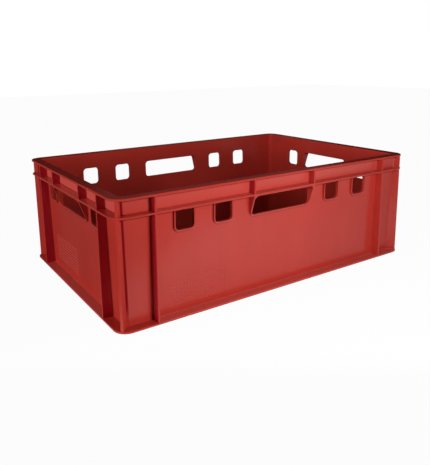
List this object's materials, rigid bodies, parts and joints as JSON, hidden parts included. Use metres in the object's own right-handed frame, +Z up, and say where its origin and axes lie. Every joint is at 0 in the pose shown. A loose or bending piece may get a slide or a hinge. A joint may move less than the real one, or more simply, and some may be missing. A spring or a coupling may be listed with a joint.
{
  "type": "stackable meat crate",
  "caption": "Open stackable plastic crate for meat, with a ribbed double rim, hand-holds, vents and a recessed foot for stacking.",
  "frame": {"origin": "centre of the foot's flat underside, on the ground", "axes": "+Z up, +X along the long side to the right, +Y from the front wall to the rear wall"},
  "size_m": [0.6, 0.4, 0.2],
  "materials": {
    "red_plastic": "satin"
  },
  "bodies": {
    "root": {"floor_pan": "red_plastic", "base_flange": "red_plastic", "lower_rim": "red_plastic", "top_rim": "red_plastic", "front_wall": "red_plastic", "front_end_ribs": "red_plastic", "front_grip_ribs": "red_plastic", "front_handhold_hood": "red_plastic", "front_vent_collars": "red_plastic", "rear_wall": "red_plastic", "rear_end_ribs": "red_plastic", "rear_grip_ribs": "red_plastic", "rear_handhold_hood": "red_plastic", "rear_vent_collars": "red_plastic", "left_wall": "red_plastic", "left_end_ribs": "red_plastic", "left_grip_ribs": "red_plastic", "left_handhold_hood": "red_plastic", "left_vent_collars": "red_plastic", "right_wall": "red_plastic", "right_end_ribs": "red_plastic", "right_grip_ribs": "red_plastic", "right_handhold_hood": "red_plastic", "right_vent_collars": "red_plastic", "front_left_corner": "red_plastic", "front_left_fin": "red_plastic", "front_right_corner": "red_plastic", "front_right_fin": "red_plastic", "rear_left_corner": "red_plastic", "rear_left_fin": "red_plastic", "rear_right_corner": "red_plastic", "rear_right_fin": "red_plastic"}
  },
  "joints": []
}
